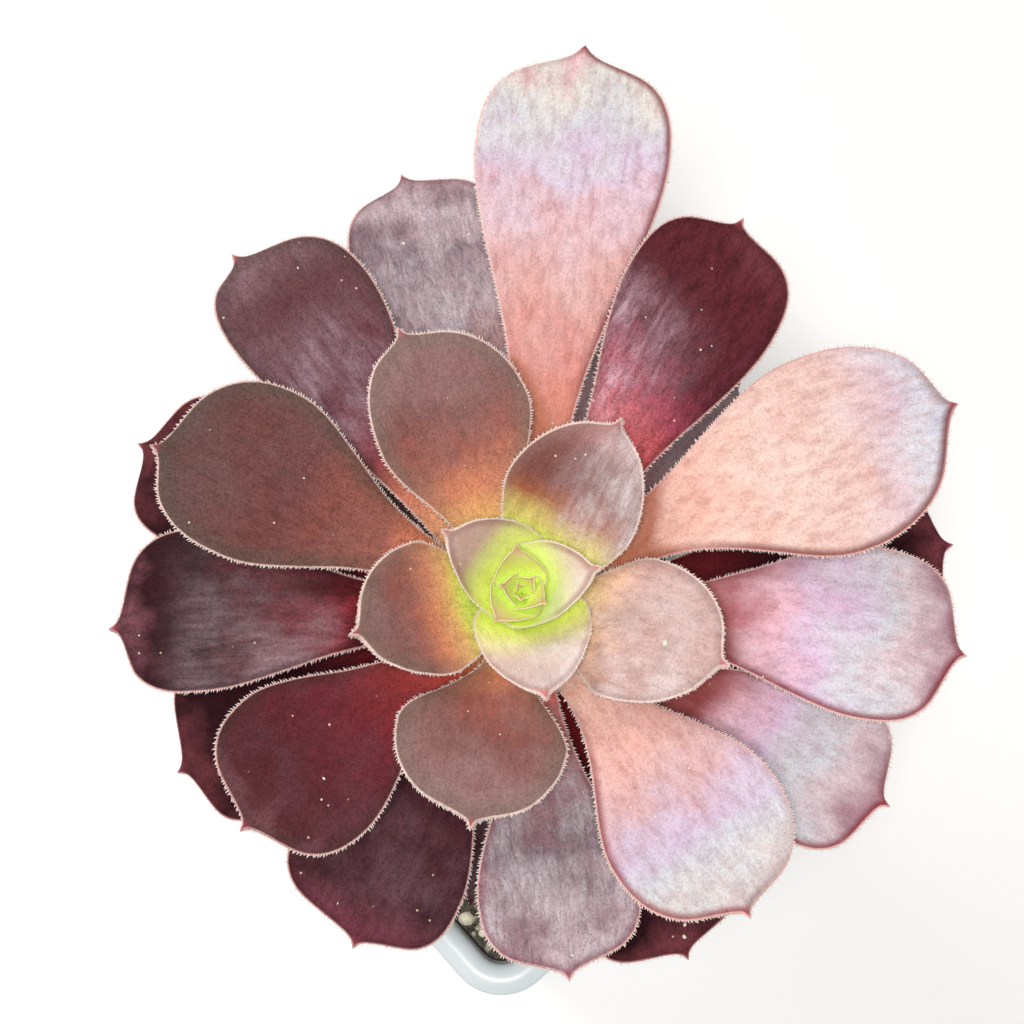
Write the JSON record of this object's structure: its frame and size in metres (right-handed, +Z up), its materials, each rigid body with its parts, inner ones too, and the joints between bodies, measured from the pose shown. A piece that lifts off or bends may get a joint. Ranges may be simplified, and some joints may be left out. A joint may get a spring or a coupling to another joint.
{
  "type": "potted aeonium",
  "caption": "Rosette succulent with spoon-shaped, short-pointed leaves on a bare woody stem, rooted in gritty soil in a square tapered glazed pot with rounded corners.",
  "frame": {"origin": "middle of the flat underside of the pot, where it rests", "axes": "+Z up along the pot and stem; X and Y square to the pot's sides, with the corner that shows below the rosette in the picture towards -X and -Y"},
  "size_m": [0.1192, 0.1249, 0.1371],
  "materials": {
    "pot_glaze": "gloss",
    "gritty_soil": "matte",
    "woody_stem": "matte",
    "bud_green": "satin",
    "leaf_heart": "satin",
    "leaf_brown": "satin",
    "leaf_pale": "satin",
    "leaf_maroon": "satin",
    "leaf_mauve": "satin",
    "leaf_wine": "satin"
  },
  "bodies": {
    "root": {"pot": "pot_glaze", "soil": "gritty_soil", "stem": "woody_stem", "heart_bud": "bud_green", "leaf_01": "leaf_heart", "leaf_02": "leaf_heart", "leaf_03": "leaf_heart", "leaf_04": "leaf_brown", "leaf_05": "leaf_brown", "leaf_06": "leaf_pale", "leaf_07": "leaf_brown", "leaf_08": "leaf_brown", "leaf_09": "leaf_pale", "leaf_10": "leaf_maroon", "leaf_11": "leaf_pale", "leaf_12": "leaf_pale", "leaf_13": "leaf_maroon", "leaf_14": "leaf_pale", "leaf_15": "leaf_maroon", "leaf_16": "leaf_mauve", "leaf_17": "leaf_maroon", "leaf_18": "leaf_maroon", "leaf_19": "leaf_pale", "leaf_20": "leaf_mauve", "leaf_21": "leaf_maroon", "leaf_22": "leaf_wine", "leaf_23": "leaf_wine", "leaf_24": "leaf_wine", "leaf_25": "leaf_mauve", "leaf_26": "leaf_wine", "leaf_27": "leaf_wine", "leaf_28": "leaf_wine", "leaf_29": "leaf_wine", "leaf_30": "leaf_mauve", "leaf_31": "leaf_wine"}
  },
  "joints": []
}
